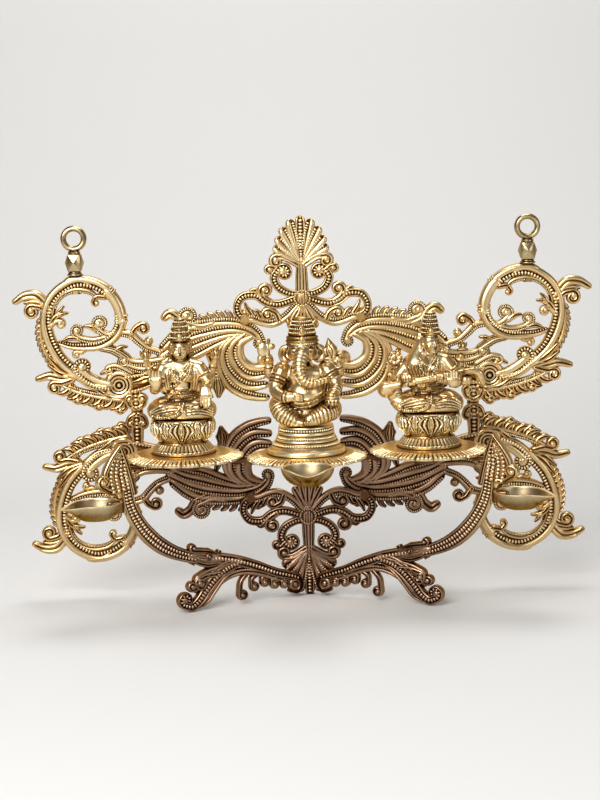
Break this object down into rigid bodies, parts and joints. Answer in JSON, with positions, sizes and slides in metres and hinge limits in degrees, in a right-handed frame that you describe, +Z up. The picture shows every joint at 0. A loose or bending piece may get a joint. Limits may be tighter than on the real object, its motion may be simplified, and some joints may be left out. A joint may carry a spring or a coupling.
{
  "type": "hanging diya holder",
  "caption": "Openwork cast brass panel with scrolled wings and crests, hung by swivel eyes or standing on leaf feet, with petalled trays, seated deity figures and teardrop oil lamps",
  "frame": {"origin": "on the floor under the tip of the lower crest, in the crest's middle plane", "axes": "+Z up, +X to the right as seen from the front, the front with the trays and lamps faces -Y"},
  "size_m": [0.4656, 0.1685, 0.306],
  "materials": {
    "panel_brass": "cast, relief polished bright over a brown patina",
    "aged_brass": "cast, dark brown patina with rubbed ridges",
    "eye_brass": "filed and polished",
    "tray_brass": "satin, engraved petals",
    "figure_brass": "cast and chased, dark in the recesses",
    "lamp_brass": "smooth satin"
  },
  "bodies": {
    "holder": {"upper_left_wing": "panel_brass", "upper_right_wing": "panel_brass", "lower_left_wing": "aged_brass", "lower_right_wing": "aged_brass", "upper_crest": "panel_brass", "lower_crest": "aged_brass", "upper_crest_rivets": "panel_brass", "lower_crest_rivets": "aged_brass", "left_wing_splice": "aged_brass", "right_wing_splice": "aged_brass", "splice_screws": "aged_brass", "left_eye_collar": "panel_brass", "right_eye_collar": "panel_brass", "left_tray": "tray_brass", "centre_tray": "tray_brass", "right_tray": "tray_brass", "left_tray_bracket": "aged_brass", "right_tray_bracket": "aged_brass", "bracket_screws": "aged_brass", "left_tray_link": "aged_brass", "right_tray_link": "aged_brass", "tray_link_rivets": "aged_brass", "left_lotus_seat": "figure_brass", "round_pedestal": "figure_brass", "right_lotus_seat": "figure_brass", "lotus_goddess": "figure_brass", "elephant_headed_deity": "figure_brass", "veena_goddess": "figure_brass", "figure_bolts": "aged_brass", "left_arm": "aged_brass", "right_arm": "aged_brass", "left_arm_seat": "aged_brass", "right_arm_seat": "aged_brass", "arm_screws": "aged_brass", "arm_tray_rivets": "aged_brass", "left_diya": "lamp_brass", "centre_diya": "lamp_brass", "right_diya": "lamp_brass", "side_diya_rivets": "lamp_brass", "centre_diya_rivet": "lamp_brass"},
    "left_hanging_eye": {"left_eye": "eye_brass", "left_eye_nut": "panel_brass"},
    "right_hanging_eye": {"right_eye": "eye_brass", "right_eye_nut": "panel_brass"}
  },
  "joints": [
    {"name": "left_eye_turn", "type": "hinge", "parent": "holder", "child": "left_hanging_eye", "pos_m": [-0.181, 0.0055, 0.26], "axis": [0, 0, 1], "continuous": true},
    {"name": "right_eye_turn", "type": "hinge", "parent": "holder", "child": "right_hanging_eye", "pos_m": [0.181, 0.0055, 0.26], "axis": [0, 0, 1], "continuous": true}
  ]
}
